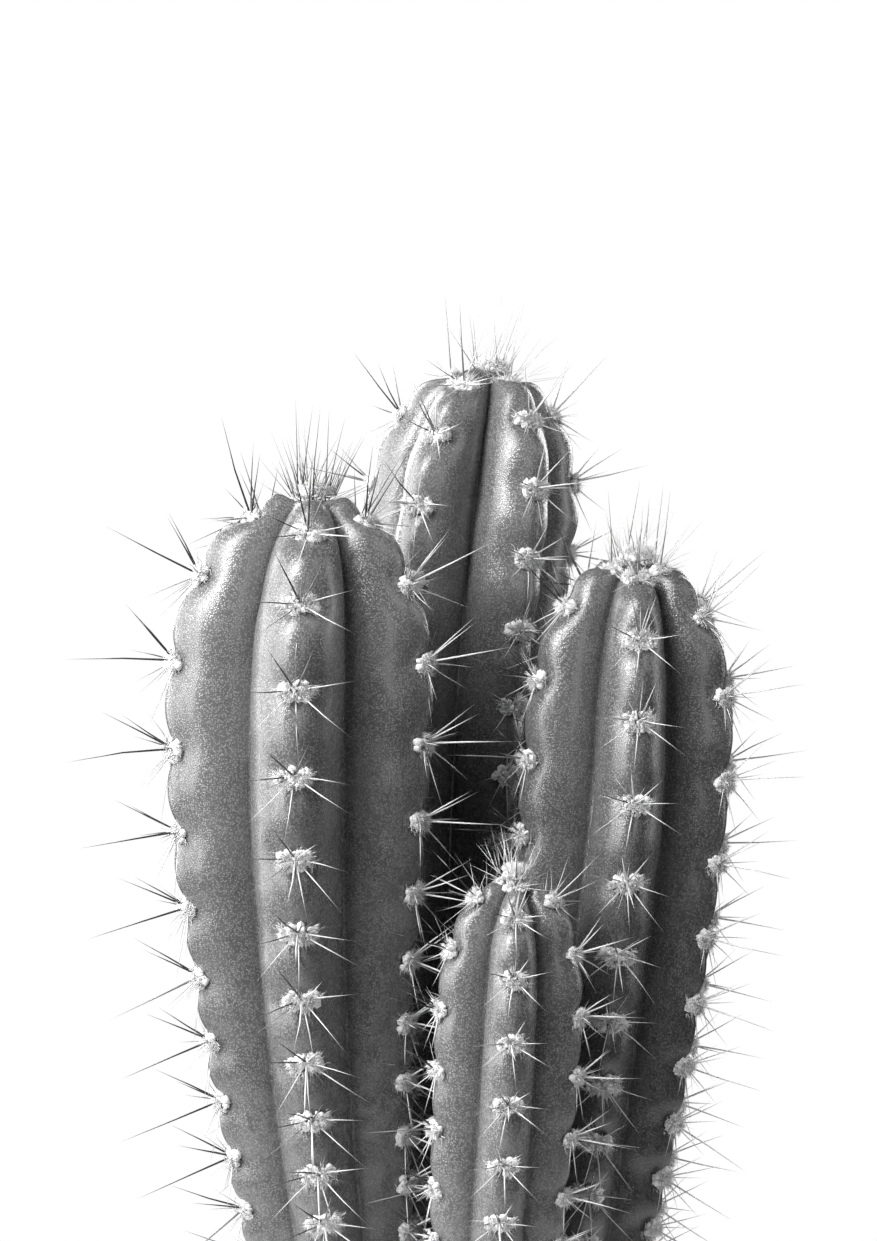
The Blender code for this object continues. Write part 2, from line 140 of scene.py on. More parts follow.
STEMS = (
    Stem(
        name="stem_left",
        stations=(
            (-0.0340, 0.004, 0.040, 0.0215),
            (-0.0465, 0.005, 0.098, 0.0280),
            (-0.0555, 0.004, 0.160, 0.0350),
            (-0.0608, 0.002, 0.225, 0.0415),
            (-0.0631, 0.000, 0.290, 0.0485),
            (-0.0622, 0.000, 0.350, 0.0508),
            (-0.0576, 0.000, 0.410, 0.0500),
        ),
        dome=0.078,
        rib_angles=(0.0, 72.0, 143.0, 216.0, 288.0),
        rib_phases=(0.65, 0.35, 0.62, 0.80, 0.45),
        gap_top=0.032,
        gap_foot=0.015,
        gap_fall=(0.096, 0.352),
        spine=0.040,
        seed=11,
        tone=(1.08, 0.82),
        bleached=0.0,
    ),
    Stem(
        name="stem_back",
        stations=(
            (-0.0080, 0.040, 0.040, 0.0215),
            (-0.0095, 0.051, 0.110, 0.0270),
            (-0.0090, 0.060, 0.180, 0.0320),
            (-0.0085, 0.068, 0.250, 0.0355),
            (-0.0060, 0.0755, 0.315, 0.0392),
            (-0.0005, 0.082, 0.385, 0.0430),
            (0.0090, 0.084, 0.456, 0.0440),
        ),
        dome=0.067,
        rib_angles=(-30.0, 35.0, 106.0, 180.0, 257.0),
        rib_phases=(0.31, 0.88, 0.73, 0.40, 0.10),
        gap_top=0.0295,
        gap_foot=0.015,
        gap_fall=(0.14, 0.36),
        spine=0.034,
        seed=23,
        tone=(1.05, 0.50),
        bleached=0.45,
    ),
    Stem(
        name="stem_right",
        stations=(
            (0.0310, 0.008, 0.040, 0.0205),
            (0.0365, 0.010, 0.098, 0.0275),
            (0.0435, 0.011, 0.160, 0.0343),
            (0.0505, 0.012, 0.225, 0.0393),
            (0.0575, 0.013, 0.288, 0.0413),
            (0.0602, 0.014, 0.338, 0.0410),
            (0.0613, 0.014, 0.386, 0.0400),
        ),
        dome=0.070,
        rib_angles=(2.0, 62.0, 108.0, 165.0, 232.0, 290.0),
        rib_phases=(0.11, 0.82, 0.68, 0.20, 0.40, 0.71),
        gap_top=0.031,
        gap_foot=0.017,
        gap_fall=(0.091, 0.294),
        spine=0.033,
        seed=37,
        tone=(0.84, 0.44),
        bleached=0.35,
    ),
    Stem(
        name="stem_front",
        stations=(
            (0.0050, -0.0330, 0.038, 0.0175),
            (0.0066, -0.0370, 0.088, 0.0212),
            (0.0088, -0.0410, 0.140, 0.0242),
            (0.0120, -0.0440, 0.190, 0.0266),
            (0.0142, -0.0460, 0.235, 0.0274),
            (0.0159, -0.0460, 0.275, 0.0270),
        ),
        dome=0.055,
        rib_angles=(1.0, 72.0, 144.0, 216.0, 287.0),
        rib_phases=(0.62, 0.31, 0.70, 0.50, 0.31),
        gap_top=0.0221,
        gap_foot=0.016,
        gap_fall=(0.119, 0.150),
        spine=0.026,
        seed=51,
        tone=(1.0, 0.82),
        bleached=0.35,
    ),
)

# The spines of a grown areole: clock angle from up towards the right, lift off the skin, share of the
# stem's full spine, and thickness beside the long one's.
SPINE_FAN = (
    (-29.0, 50.0, 0.72, 0.95),
    (28.0, 52.0, 0.66, 0.90),
    (-88.0, 27.0, 0.56, 0.75),
    (88.0, 27.0, 0.58, 0.75),
    (-131.0, 22.0, 0.62, 0.62),
    (127.0, 24.0, 0.72, 0.80),
    (180.0, 13.0, 0.66, 0.70),
)
TIP_TUFT = 0.020  # areoles nearer to the tip than this carry young spines only
TIP_SPINES = 3
TIP_THICKNESS = 0.7
BRISTLES = 4
BRISTLE_LENGTH = 0.45  # of the longest, as a share of the stem's full spine
BRISTLE_THICKNESS = 0.38
TIP_BRISTLES = 9
TIP_BRISTLE_LENGTH = 0.75
SPINE_OUT = 0.0008  # how far a spine's root stands off the skin
SPINE_START = 0.0012  # and how far along the spine it lies
SPINE_KNEE = 0.45  # share of the length at which a spine may bend
SPINE_SIDES = 5
FULL_SPINE = 0.04  # full spine of the stem with the thickest spines
SHORTER = (1.0, 0.8, 0.6, 0.45)  # lengths that are tried before a spine is left out
SPINE_CLEARANCE = 0.001
GROUND_CLEARANCE = 0.004
BLEACHED = 0.2  # a stem more bleached than this has pale bristles and a pale tip

# The growing point's wool and spines.
CROWN_TUFT = 0.0095  # half width of the wool over the growing point of a thick stem
CROWN_WOOL = (0.0045, 0.9, 4.0)  # how proud, size beside a grown tuft, share of a grown tuft's hairs
CROWN_SPINES = 26
CROWN_LEAN = 0.42
CROWN_STRAY = 0.15
CROWN_LENGTH = (0.3, 0.86)
CROWN_RADIUS = (0.38, 0.62)
CROWN_SECOND_TONE = 0.4  # share of its spines that have the second of two tones

# Wool: two lobes beside the spines' roots. Places are shares of a tuft's half width, half height and proud.
WOOL_YOUNG = 0.75  # size of a tuft at the tip, as a share
WOOL_GIRTH_POWER = 0.35  # how much smaller the tufts are on a thin stem
LUMP_ACROSS = (0.05, 0.95)
LUMP_ALONG = (-0.9, 0.7)
LUMP_SPREAD = 0.74
LUMP_CORES = 0.3  # share of the lumps that are large and lie deep
LUMP_DEPTHS = (0.25, 0.60)  # of a core and of a small lump
CORE_RADIUS = (0.0013, 0.0020)
SMALL_RADIUS = (0.0006, 0.0011)
HAIR_ACROSS = (0.08, 0.92)
HAIR_ALONG = (-0.85, 0.62)
HAIR_SPREAD = 0.82
HAIR_DEPTH = 0.72
HAIR_SCATTER = 0.11
HAIRS_TOGETHER = 16
HAIR_LEAN = 0.38  # shared by hairs that grow together
HAIR_STRAY = 0.24  # each hair's own
HAIR_SIDES = 3
BEARD = 0.07  # share of the hairs that hang down and are longer
BEARD_DROP = 2.2
BEARD_LENGTH = 1.7
STRAIGHT_HAIRS = 0.6
HAIR_KNEE = 0.55  # share of the length at which a hair bends
HAIR_TAPER = (1.0, 0.64)  # thickness at each ring of a hair or spine

# The root crown.
COLLAR_RADIUS = 0.97  # share of the stem's radius there
COLLAR_THICKNESS = 0.0032
COLLAR_RISE = 0.002  # above the stem's foot
BARK_VOXEL = 0.0011
BARK_RELIEF = (("knobs", 0.016, 0.0035), ("cracks", 0.004, 0.0012))  # name, size, strength


def unit(vector):
    return vector / np.maximum(np.linalg.norm(vector, axis=-1, keepdims=True), 1e-12)


def smooth_curve(points, places):
    """A Catmull-Rom curve through points. A place counts the stations: 0 is the first point."""
    points = np.asarray(points, float)
    padded = np.vstack([2 * points[0] - points[1], points, 2 * points[-1] - points[-2]])
    span = np.minimum(places.astype(int), len(points) - 2)
    t = (places - span)[:, None]
    a, b, c, d = (padded[span + k] for k in range(4))
    curve = 2 * b + (c - a) * t + (2 * a - 5 * b + 4 * c - d) * t**2 + (3 * b - a - 3 * c + d) * t**3
    return 0.5 * curve


def steps_along(points):
    """Distance along a line of points, 0 at the first."""
    return np.concatenate([[0.0], np.cumsum(np.linalg.norm(np.diff(points, axis=0), axis=1))])


class StemShape:
    """The surface of one stem. Places along it are distances below its tip, along a crest."""

    def __init__(self, stem):
        self.stem = stem
        spans = len(stem.stations) - 1
        places = spans * np.sin(np.linspace(0.0, math.pi / 2, AXIS_SAMPLES))
        curve = smooth_curve(stem.stations, places)
        self.centre = curve[:, :3]
        along = steps_along(self.centre)
        into_dome = np.clip(1 - (along[-1] - along) / stem.dome, 0.0, 1.0)
        self.radius = curve[:, 3] * (1 - into_dome**DOME_POWER) ** (1 / DOME_POWER)
        self.tangent = unit(np.gradient(self.centre, axis=0))
        crest = steps_along(np.column_stack([along, self.radius]))
        self.below_tip = crest[-1] - crest
        self.length = crest[-1]
        self.above_foot = along
        self.widest = self.radius.max()
        step = np.maximum(np.gradient(crest), 1e-9)
        self.out_share = np.gradient(along) / step
        self.up_share = -np.gradient(self.radius) / step
        self._count_gaps()

    def _count_gaps(self):
        """The number of areole gaps between the tip and each place below it."""
        stem = self.stem
        self.distance = np.linspace(0.0, self.length, AXIS_SAMPLES)
        start, end = stem.gap_fall
        old = np.clip((self.distance - start) / (end - start), 0.0, 1.0)
        young = 1 - (1 - YOUNG_GAP) * np.exp(-self.distance / (YOUNG_REACH * self.widest))
        gap = young * (stem.gap_top + (stem.gap_foot - stem.gap_top) * old)
        steps = np.diff(self.distance) * 0.5 * (1 / gap[1:] + 1 / gap[:-1])
        self.count = np.concatenate([[0.0], np.cumsum(steps)])

    def at(self, distance, values):
        """One of the axis tables, read at distances below the tip."""
        order = slice(None, None, -1)
        if values.ndim == 1:
            return np.interp(distance, self.below_tip[order], values[order])
        columns = [np.interp(distance, self.below_tip[order], column[order]) for column in values.T]
        return np.stack(columns, axis=-1)

    def axes(self, distance, angle):
        """The axis direction, and the direction square to it at a rib angle in degrees."""
        tangent = unit(self.at(distance, self.tangent))
        side = unit(np.array([1.0, 0.0, 0.0]) - tangent[..., :1] * tangent)
        front = np.cross(side, tangent)
        turn = np.radians(angle)[..., None]
        return tangent, np.sin(turn) * side + np.cos(turn) * front

    def normal(self, distance, angle):
        """The way out of the skin on a crest, and the way up along it."""
        tangent, out = self.axes(distance, angle)
        outward = self.at(distance, self.out_share)[..., None]
        upward = self.at(distance, self.up_share)[..., None]
        return unit(outward * out + upward * tangent), unit(outward * tangent - upward * out)

    def across(self, distance, share):
        """The radius at a share across a rib, as a share of the crest's."""
        tip = np.exp(-distance / LOBE_FADE)
        foot = np.exp(-self.at(distance, self.above_foot) / VALLEY_FADE)
        valley = VALLEY + (VALLEY_AT_TIP - VALLEY) * tip + (VALLEY_AT_FOOT - VALLEY) * foot
        lobe = LOBE + (LOBE_AT_TIP - LOBE) * tip
        bud = np.exp(-((distance / BUD_LENGTH) ** 2))
        valley = valley + (BUD_VALLEY - valley) * bud
        lobe = lobe + BUD_LOBE * (1 - lobe) * bud
        power = LOBE_POWER + (BUD_POWER - LOBE_POWER) * bud
        flat = math.sqrt(1 + CREST_ROUNDING**2) - CREST_ROUNDING
        fall = (1 - lobe) * (np.sqrt(share**2 + CREST_ROUNDING**2) - CREST_ROUNDING) / flat
        return 1 - (1 - valley) * (fall + lobe * share**power)

    def surface(self, distance, angle, share, phase):
        """Points of the skin. share is 0 on a crest and 1 in a valley; phase is the rib's."""
        radius = self.at(distance, self.radius)
        ratio = self.across(distance, share)
        tangent, out = self.axes(distance, angle)
        dip = TIP_DIP * np.exp(-((radius / TIP_DIP_WIDTH) ** 2))
        budding = np.exp(-((distance / BUD_LENGTH) ** 2)) * (1 - np.exp(-((radius / BUD_CENTRE) ** 2)))
        dip = dip + BUD_DIP * budding * share**BUD_DIP_POWER
        body = self.at(distance, self.centre) + (ratio * radius)[..., None] * out
        body = body - dip[..., None] * tangent
        away = (np.interp(distance, self.distance, self.count) - phase + 0.5) % 1 - 0.5
        grown = np.clip(distance / NOTCH_START, 0.0, 1.0)
        grown = grown * np.clip((self.length - distance) / NOTCH_END, 0.0, 1.0)
        young = np.exp(-((distance / YOUNG_NOTCH) ** 2))
        width = NOTCH_WIDTH + (YOUNG_NOTCH_WIDTH - NOTCH_WIDTH) * young
        length = NOTCH_LENGTH + (YOUNG_NOTCH_LENGTH - NOTCH_LENGTH) * young
        notch = np.exp(-((away / length) ** 2) - (share / width) ** 2)
        notch = NOTCH_DEPTH * (1 + YOUNG_NOTCH_DEEPER * young) * self.widest * notch
        swell = SWELL * self.widest / GIRTH * -np.cos(2 * math.pi * away)
        swell = swell * np.exp(-((share / SWELL_WIDTH) ** 2))
        lift = grown * (swell - notch)
        return body + lift[..., None] * self.normal(distance, angle)[0]

    def tip_frame(self):
        """The growing point, the way up from it and a direction square to that."""
        upward = unit(self.tangent[-1])
        side = unit(np.cross(upward, [0.3, 1.0, 0.0]))
        return self.centre[-1] - GROWING_POINT * upward, upward, side

    def areoles(self):
        """(rib, step, place, outward, up, distance) of each areole."""
        last = float(np.interp(self.length - BARE_FOOT, self.distance, self.count))
        for rib, phase in enumerate(self.stem.rib_phases):
            for step in range(math.ceil(last - phase)):
                distance = np.array(float(np.interp(step + phase, self.count, self.distance)))
                if distance <= BARE_TIP:
                    continue
                angle = np.array(self.stem.rib_angles[rib])
                place = self.surface(distance, angle, np.array(0.0), phase)
                outward, up = self.normal(distance, angle)
                yield rib, step, place, outward, up, float(distance)

    def clearance(self, points):
        """How far points are outside the round column that holds the crests."""
        apart = np.linalg.norm(points[:, None, :] - self.centre[None, ::8, :], axis=2)
        return (apart - self.radius[None, ::8]).min(axis=1)


SHAPES = [StemShape(stem) for stem in STEMS]


# Soft boxes: azimuth from the camera's side towards the right, elevation, distance, width, height, watts.
SOFT_BOXES = {
    "high_left": (-50.0, 35.0, 1.25, 0.35, 0.45, 11.0),
    "high_front": (-35.0, 50.0, 1.25, 0.40, 0.50, 7.5),
    "strip_left": (-54.0, 10.0, 1.25, 0.14, 1.0, 6.5),
    "key_left": (-72.0, 14.0, 1.25, 0.35, 1.1, 7.0),
    "side_left": (-95.0, 8.0, 1.25, 0.35, 1.2, 6.0),
    "rim_left": (-118.0, 8.0, 1.25, 0.25, 1.2, 8.0),
    "strip_right": (22.0, 13.0, 1.40, 0.32, 0.65, 1.4),
    "high_right": (60.0, 42.0, 0.90, 0.35, 0.35, 0.7),
    "side_right": (100.0, 12.0, 1.25, 0.35, 1.1, 3.8),
    "back_right": (148.0, 20.0, 1.30, 0.35, 0.9, 7.0),
    "back_left": (-150.0, 20.0, 1.30, 0.35, 0.9, 8.0),
}
LIGHT_AIM = (0.0, 0.0, 0.30)

FLOOR_RADIUS = 0.52
FLOOR_DROP = 0.0005
FLOOR_FADE = (0.22, 0.50)  # distances from the middle between which the floor gives way to the white


# Helpers for objects, meshes and node trees.


def deselect_all():
    if bpy.context.object and bpy.context.object.mode != "OBJECT":
        bpy.ops.object.mode_set(mode="OBJECT")
    bpy.ops.object.select_all(action="DESELECT")


def make_active(obj):
    deselect_all()
    obj.select_set(True)
    bpy.context.view_layer.objects.active = obj


def apply_modifiers(obj):
    make_active(obj)
    for modifier in list(obj.modifiers):
        bpy.ops.object.modifier_apply(modifier=modifier.name)


def add_relief(obj, label, size, strength, group=""):
    """Cloudy bumps of a size and height, which apply_modifiers makes real."""
    texture = bpy.data.textures.new(label, "CLOUDS")
    texture.noise_scale = size
    relief = obj.modifiers.new(label, "DISPLACE")
    relief.texture = texture
    relief.texture_coords = "LOCAL"
    relief.strength = strength
    relief.mid_level = 0.5
    relief.vertex_group = group


def finish_piece(obj, name, material):
    """Names a finished piece, gives it its material and puts it on the plant's body."""
    obj.name = name
    obj.data.name = name
    obj.data.materials.clear()
    obj.data.materials.append(material)
    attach(obj, "root")


def mesh_from_arrays(name, verts, tris, quads):
    """A mesh from arrays of points, three-cornered faces and four-cornered faces."""
    mesh = bpy.data.meshes.new(name)
    mesh.vertices.add(len(verts))
    mesh.vertices.foreach_set("co", np.asarray(verts, np.float32).ravel())
    corners = np.concatenate([tris.ravel(), quads.ravel()]).astype(np.int32)
    mesh.loops.add(len(corners))
    mesh.loops.foreach_set("vertex_index", corners)
    starts = np.concatenate([3 * np.arange(len(tris)), tris.size + 4 * np.arange(len(quads))])
    mesh.polygons.add(len(starts))
    mesh.polygons.foreach_set("loop_start", starts.astype(np.int32))
    mesh.update(calc_edges=True)
    mesh.polygons.foreach_set("use_smooth", np.ones(len(starts), bool))
    obj = bpy.data.objects.new(name, mesh)
    bpy.context.scene.collection.objects.link(obj)
    return obj


def tapered_hairs(name, points, radius, sides):
    """Joined hairs or spines. points has the root, perhaps a knee, and the tip of each; a ring of corners
    stands at every point but the tip."""
    count = len(radius)
    along = unit(points[1] - points[0])
    spare = np.where(np.abs(along[:, 2:]) < 0.9, [[0.0, 0.0, 1.0]], [[1.0, 0.0, 0.0]])
    across = unit(np.cross(along, spare))
    second = np.cross(along, across)
    turns = 2 * math.pi * np.arange(sides) / sides
    ring = across[:, None] * np.cos(turns)[None, :, None] + second[:, None] * np.sin(turns)[None, :, None]
    rings = len(points) - 1
    rows = [points[k][:, None] + ring * HAIR_TAPER[k] * radius[:, None, None] for k in range(rings)]
    verts = np.concatenate([*rows, points[-1][:, None]], axis=1)
    each = rings * sides + 1
    this = np.arange(sides)
    after = (this + 1) % sides
    last = (rings - 1) * sides
    tris = [np.column_stack([last + this, last + after, np.full(sides, each - 1)])]
    tris.append(np.array([[0, k + 1, k] for k in range(1, sides - 1)]))
    walls = np.empty((0, 4), int)
    if rings == 2:
        walls = np.column_stack([this, after, sides + after, sides + this])
    shift = each * np.arange(count)[:, None, None]
    quads = (walls[None] + shift).reshape(-1, 4)
    tris = (np.concatenate(tris)[None] + shift).reshape(-1, 3)
    return mesh_from_arrays(name, verts.reshape(-1, 3), tris, quads)


class NodeMaker:
    """Short names for the node tree of one material."""

    def __init__(self, name, colour, roughness):
        self.material = bpy.data.materials.new(name)
        self.material.use_nodes = True
        self.tree = self.material.node_tree
        self.shader = self.tree.nodes["Principled BSDF"]
        self.shader.inputs["Base Color"].default_value = (*colour, 1.0)
        self.shader.inputs["Roughness"].default_value = roughness

    def node(self, kind, **values):
        made = self.tree.nodes.new(kind)
        for key, value in values.items():
            setattr(made, key, value)
        return made

    def link(self, source, target):
        self.tree.links.new(source, target)

    def where(self):
        return self.node("ShaderNodeTexCoord").outputs["Object"]

    def noise(self, scale, detail=3.0, roughness=0.5):
        made = self.node("ShaderNodeTexNoise")
        made.inputs["Scale"].default_value = scale
        made.inputs["Detail"].default_value = detail
        made.inputs["Roughness"].default_value = roughness
        self.link(self.where(), made.inputs["Vector"])
        return made.outputs["Fac"]

    def ramp(self, factor, low, high, at=(0.0, 1.0)):
        made = self.node("ShaderNodeMapRange")
        made.inputs["From Min"].default_value, made.inputs["From Max"].default_value = at
        made.inputs["To Min"].default_value = low
        made.inputs["To Max"].default_value = high
        self.link(factor, made.inputs["Value"])
        return made.outputs["Result"]

    def mix(self, factor, first, second):
        """A colour between two colours, each a tuple or a socket."""
        made = self.node("ShaderNodeMix", data_type="RGBA")
        self.link(factor, made.inputs["Factor"])
        for name, value in (("A_Color", first), ("B_Color", second)):
            socket = next(s for s in made.inputs if s.identifier == name)
            if isinstance(value, tuple):
                socket.default_value = (*value, 1.0)
            else:
                self.link(value, socket)
        return next(s for s in made.outputs if s.identifier == "Result_Color")

    def math(self, operation, first, second):
        made = self.node("ShaderNodeMath", operation=operation)
        for socket, value in zip(made.inputs, (first, second)):
            if isinstance(value, float):
                socket.default_value = value
            else:
                self.link(value, socket)
        return made.outputs["Value"]

    def bump(self, height, strength, distance, after=None):
        made = self.node("ShaderNodeBump")
        made.inputs["Strength"].default_value = strength
        made.inputs["Distance"].default_value = distance
        self.link(height, made.inputs["Height"])
        if after:
            self.link(after, made.inputs["Normal"])
        return made.outputs["Normal"]

    def attribute(self, name):
        return self.node("ShaderNodeAttribute", attribute_name=name).outputs["Fac"]


def shade(colour, times):
    return tuple(min(1.0, times * channel) for channel in colour)


def skin_material(look):
    """Waxy skin with a fine pebbled grain whose tops are painted pale as highlights; it pales where it ages,
    turns to cork at the foot and is darkened lower down by painted shade.
    """
    made = NodeMaker("waxy_skin", look.skin_colour, look.skin_roughness)
    grain = made.node("ShaderNodeTexVoronoi", feature="F1")
    grain.inputs["Scale"].default_value = 1 / look.pebble_size
    grain.inputs["Randomness"].default_value = 0.8
    made.link(made.where(), grain.inputs["Vector"])
    pebbles_and_painted_glints = made.ramp(grain.outputs["Distance"], 1.0, 0.0, at=(0.12, 0.52))
    cloudy = made.noise(38.0, detail=4.0)
    mottled = made.noise(210.0, detail=3.0, roughness=0.6)
    base = tuple(look.skin_colour)
    tint = made.mix(made.ramp(cloudy, 0.0, 1.0, at=(0.32, 0.68)), shade(base, 0.72), base)
    patches = made.ramp(mottled, 0.0, 1.0, at=(0.42, 0.62))
    patches = made.math("MULTIPLY", patches, made.ramp(made.attribute("age"), 0.0, 0.3))
    tint = made.mix(patches, tint, shade(base, 2.4))
    # Painted highlight: the tops of the pebbles are painted pale.
    tint = made.mix(made.ramp(pebbles_and_painted_glints, 0.0, 0.75), tint, shade(base, 2.9))
    cork = made.attribute("cork")
    corky = made.math("MULTIPLY", cork, made.ramp(mottled, 0.55, 1.0))
    tint = made.mix(corky, tint, tuple(look.cork_colour))
    # Painted shade: the colour is scaled by each stem's lightness, darker lower down and on the back and right
    # stems.
    tint_with_painted_shade = made.node("ShaderNodeVectorMath", operation="SCALE")
    made.link(tint, tint_with_painted_shade.inputs[0])
    made.link(made.attribute("tone"), tint_with_painted_shade.inputs["Scale"])
    made.link(tint_with_painted_shade.outputs["Vector"], made.shader.inputs["Base Color"])
    rough = made.math("ADD", made.ramp(mottled, -0.05, 0.07), made.ramp(cork, look.skin_roughness, 0.8))
    made.link(rough, made.shader.inputs["Roughness"])
    made.shader.inputs["Specular IOR Level"].default_value = look.skin_shine
    rippled = made.bump(mottled, 0.05, 0.0008)
    made.link(made.bump(pebbles_and_painted_glints, look.pebble_relief, 0.0003, after=rippled), made.shader.inputs["Normal"])
    return made.material


def cork_material(look):
    """Dry bark, cracked into plates that are longer upwards than across."""
    made = NodeMaker("cork_bark", look.cork_colour, 0.9)
    upright = made.node("ShaderNodeMapping")
    upright.inputs["Scale"].default_value = (1.0, 1.0, 0.4)
    made.link(made.where(), upright.inputs["Vector"])
    wander = made.node("ShaderNodeTexNoise")
    wander.inputs["Scale"].default_value = 160.0
    made.link(upright.outputs["Vector"], wander.inputs["Vector"])
    bent = made.node("ShaderNodeVectorMath", operation="MULTIPLY_ADD")
    bent.inputs[1].default_value = (0.006, 0.006, 0.006)
    made.link(wander.outputs["Color"], bent.inputs[0])
    made.link(upright.outputs["Vector"], bent.inputs[2])
    plates = made.node("ShaderNodeTexVoronoi", feature="DISTANCE_TO_EDGE")
    plates.inputs["Scale"].default_value = 240.0
    made.link(bent.outputs["Vector"], plates.inputs["Vector"])
    cracks = made.ramp(plates.outputs["Distance"], 0.0, 1.0, at=(0.0, 0.16))
    grain = made.noise(420.0, detail=5.0, roughness=0.65)
    blotch = made.noise(60.0, detail=3.0)
    base = tuple(look.cork_colour)
    tint = made.mix(made.ramp(blotch, 0.0, 1.0, at=(0.35, 0.65)), base, shade(base, 1.35))
    whole = made.math("MULTIPLY", cracks, made.ramp(grain, 0.55, 1.0))
    tint = made.mix(whole, shade(base, 0.45), tint)
    made.link(tint, made.shader.inputs["Base Color"])
    relief = made.math("ADD", cracks, made.math("MULTIPLY", grain, 0.5))
    made.link(made.bump(relief, 0.6, 0.0007), made.shader.inputs["Normal"])
    return made.material


def wool_material(look):
    """Matt felted wool."""
    made = NodeMaker("felted_wool", look.wool_colour, 0.95)
    fluff = made.noise(1400.0, detail=3.0, roughness=0.7)
    base = tuple(look.wool_colour)
    tint = made.mix(made.ramp(fluff, 0.0, 1.0, at=(0.25, 0.55)), shade(base, 0.8), base)
    made.link(tint, made.shader.inputs["Base Color"])
    made.shader.inputs["Sheen Weight"].default_value = 0.6
    made.shader.inputs["Specular IOR Level"].default_value = 0.2
    made.link(made.bump(fluff, 0.6, 0.0005), made.shader.inputs["Normal"])
    return made.material


def spine_material(name, colour, gloss):
    """Horn: smooth and a little mottled."""
    made = NodeMaker(name, colour, gloss)
    mottled = made.noise(900.0, detail=2.0)
    made.link(made.mix(mottled, shade(colour, 0.7), shade(colour, 1.25)), made.shader.inputs["Base Color"])
    return made.material


# Properties that a user would change.


class CactusSkinLook(bpy.types.PropertyGroup):
    skin_colour: FloatVectorProperty(
        name="Skin", description="Colour of the skin; the photo is grey", default=(0.140, 0.140, 0.140),
        size=3, min=0.0, max=1.0, subtype="COLOR",
    )
    cork_colour: FloatVectorProperty(
        name="Cork", description="Colour of the root crown and of the stems' feet",
        default=(0.23, 0.23, 0.23), size=3, min=0.0, max=1.0, subtype="COLOR",
    )
    skin_roughness: FloatProperty(
        name="Skin roughness", description="Spread of the wax's highlights", default=0.26, min=0.0, max=1.0
    )
    skin_shine: FloatProperty(
        name="Skin shine", description="Strength of the wax's highlights", default=0.85, min=0.0, max=1.0
    )
    pebble_size: FloatProperty(
        name="Grain size", description="Width of one grain of the pebbled skin",
        default=0.00075, min=0.0003, max=0.005, unit="LENGTH",
    )
    pebble_relief: FloatProperty(
        name="Grain relief", description="Strength of the pebbled grain", default=0.24, min=0.0, max=1.0
    )


class CactusWoolLook(bpy.types.PropertyGroup):
    wool_colour: FloatVectorProperty(
        name="Wool", description="Colour of the areoles' wool", default=(0.97, 0.97, 0.97),
        size=3, min=0.0, max=1.0, subtype="COLOR",
    )
    half_width: FloatProperty(
        name="Half width", description="Half the width of a grown tuft", default=0.0080, unit="LENGTH"
    )
    half_height: FloatProperty(
        name="Half height", description="Half the height of a grown tuft", default=0.0062, unit="LENGTH"
    )
    proud: FloatProperty(
        name="Proud", description="How far a tuft stands out of the rib", default=0.0042, unit="LENGTH"
    )
    lumps: IntProperty(name="Lumps", description="Lumps of felt in one tuft", default=62, min=4, max=80)
    hairs: IntProperty(name="Hairs", description="Hairs in one tuft", default=380, min=16, max=600)
    hair_length: FloatProperty(
        name="Hair length", description="Length of the longest hairs", default=0.0034, unit="LENGTH"
    )
    hair_radius: FloatProperty(
        name="Hair radius", description="Thickness of a hair at its root", default=0.00015, unit="LENGTH"
    )


class CactusSpineLook(bpy.types.PropertyGroup):
    # The dark and pale spines are partly painted shade and painted light: which colour a spine takes follows
    # the way it points.
    dark_colour: FloatVectorProperty(
        name="Dark spines", description="Colour of the young, upper spines", default=(0.03, 0.03, 0.03),
        size=3, min=0.0, max=1.0, subtype="COLOR",
    )
    grey_colour: FloatVectorProperty(
        name="Grey spines", description="Colour of the side spines", default=(0.22, 0.22, 0.22),
        size=3, min=0.0, max=1.0, subtype="COLOR",
    )
    pale_colour: FloatVectorProperty(
        name="Pale spines", description="Colour of the old, lower spines", default=(0.85, 0.85, 0.85),
        size=3, min=0.0, max=1.0, subtype="COLOR",
    )
    radius: FloatProperty(
        name="Radius", description="Radius of a long spine near its root", default=0.00045, unit="LENGTH"
    )
    bend: FloatProperty(
        name="Bend", description="Sideways bend as a share of the length", default=0.018, min=0.0, max=0.2
    )


class CactusStageLook(bpy.types.PropertyGroup):
    light: FloatProperty(
        name="Light", description="Brightness of all the soft boxes together", default=1.0, min=0.0, max=10.0
    )
    fill: FloatProperty(
        name="Fill", description="Brightness of the white surroundings", default=0.015, min=0.0, max=1.0
    )


def look_of(kind):
    return getattr(bpy.context.scene, "cactus_" + kind)


# The stems' skins.


def column_tables(stem):
    """(angle, share, phase) of each column of mesh round the stem: share 0 on a crest, 1 in a valley."""
    angles, shares, phases = [], [], []
    ribs = len(stem.rib_angles)
    for rib in range(ribs):
        here = stem.rib_angles[rib]
        after = (stem.rib_angles[(rib + 1) % ribs] - here) % 360
        columns = round(RIB_COLUMNS * after / 360)
        for step in range(columns):
            across = 2 * step / columns
            owner = rib if across <= 1 else (rib + 1) % ribs
            angles.append(here + after * step / columns)
            shares.append(across if across <= 1 else 2 - across)
            phases.append(stem.rib_phases[owner])
    return np.array(angles), np.array(shares), np.array(phases)


